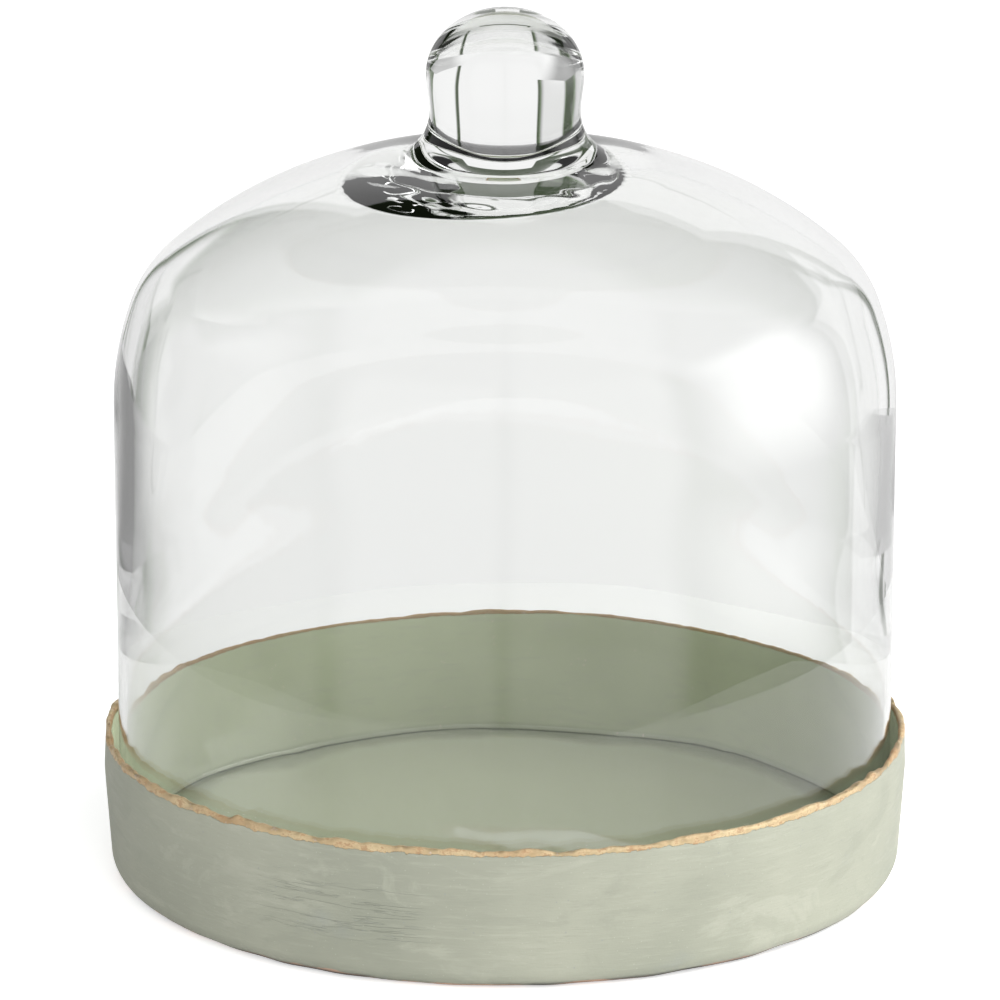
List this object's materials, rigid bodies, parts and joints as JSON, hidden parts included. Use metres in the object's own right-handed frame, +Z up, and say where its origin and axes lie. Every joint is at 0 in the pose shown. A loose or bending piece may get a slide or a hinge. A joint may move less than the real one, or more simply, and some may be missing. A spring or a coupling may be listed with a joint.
{
  "type": "glass cloche",
  "caption": "Clear glass bell with a rounded grip knob, lifting off a shallow round glazed tray with a worn gilt rim.",
  "frame": {"origin": "centre of the tray's flat underside", "axes": "+Z up along the axis the bell and the tray are turned round; X and Y are horizontal"},
  "size_m": [0.28, 0.28, 0.303],
  "materials": {
    "tray_glaze": "sage green glaze, brushed and satin outside, glossy inside, with a worn gold line on the rim",
    "clear_glass": "clear hand-blown glass with a faint grey-green tint, slightly wavy"
  },
  "bodies": {
    "tray": {"tray": "tray_glaze"},
    "cloche": {"glass_bell": "clear_glass", "glass_knob": "clear_glass"}
  },
  "joints": [
    {"name": "cloche_lift", "type": "slide", "parent": "tray", "child": "cloche", "axis": [0, 0, 1], "range_m": [0, 0.12]}
  ]
}
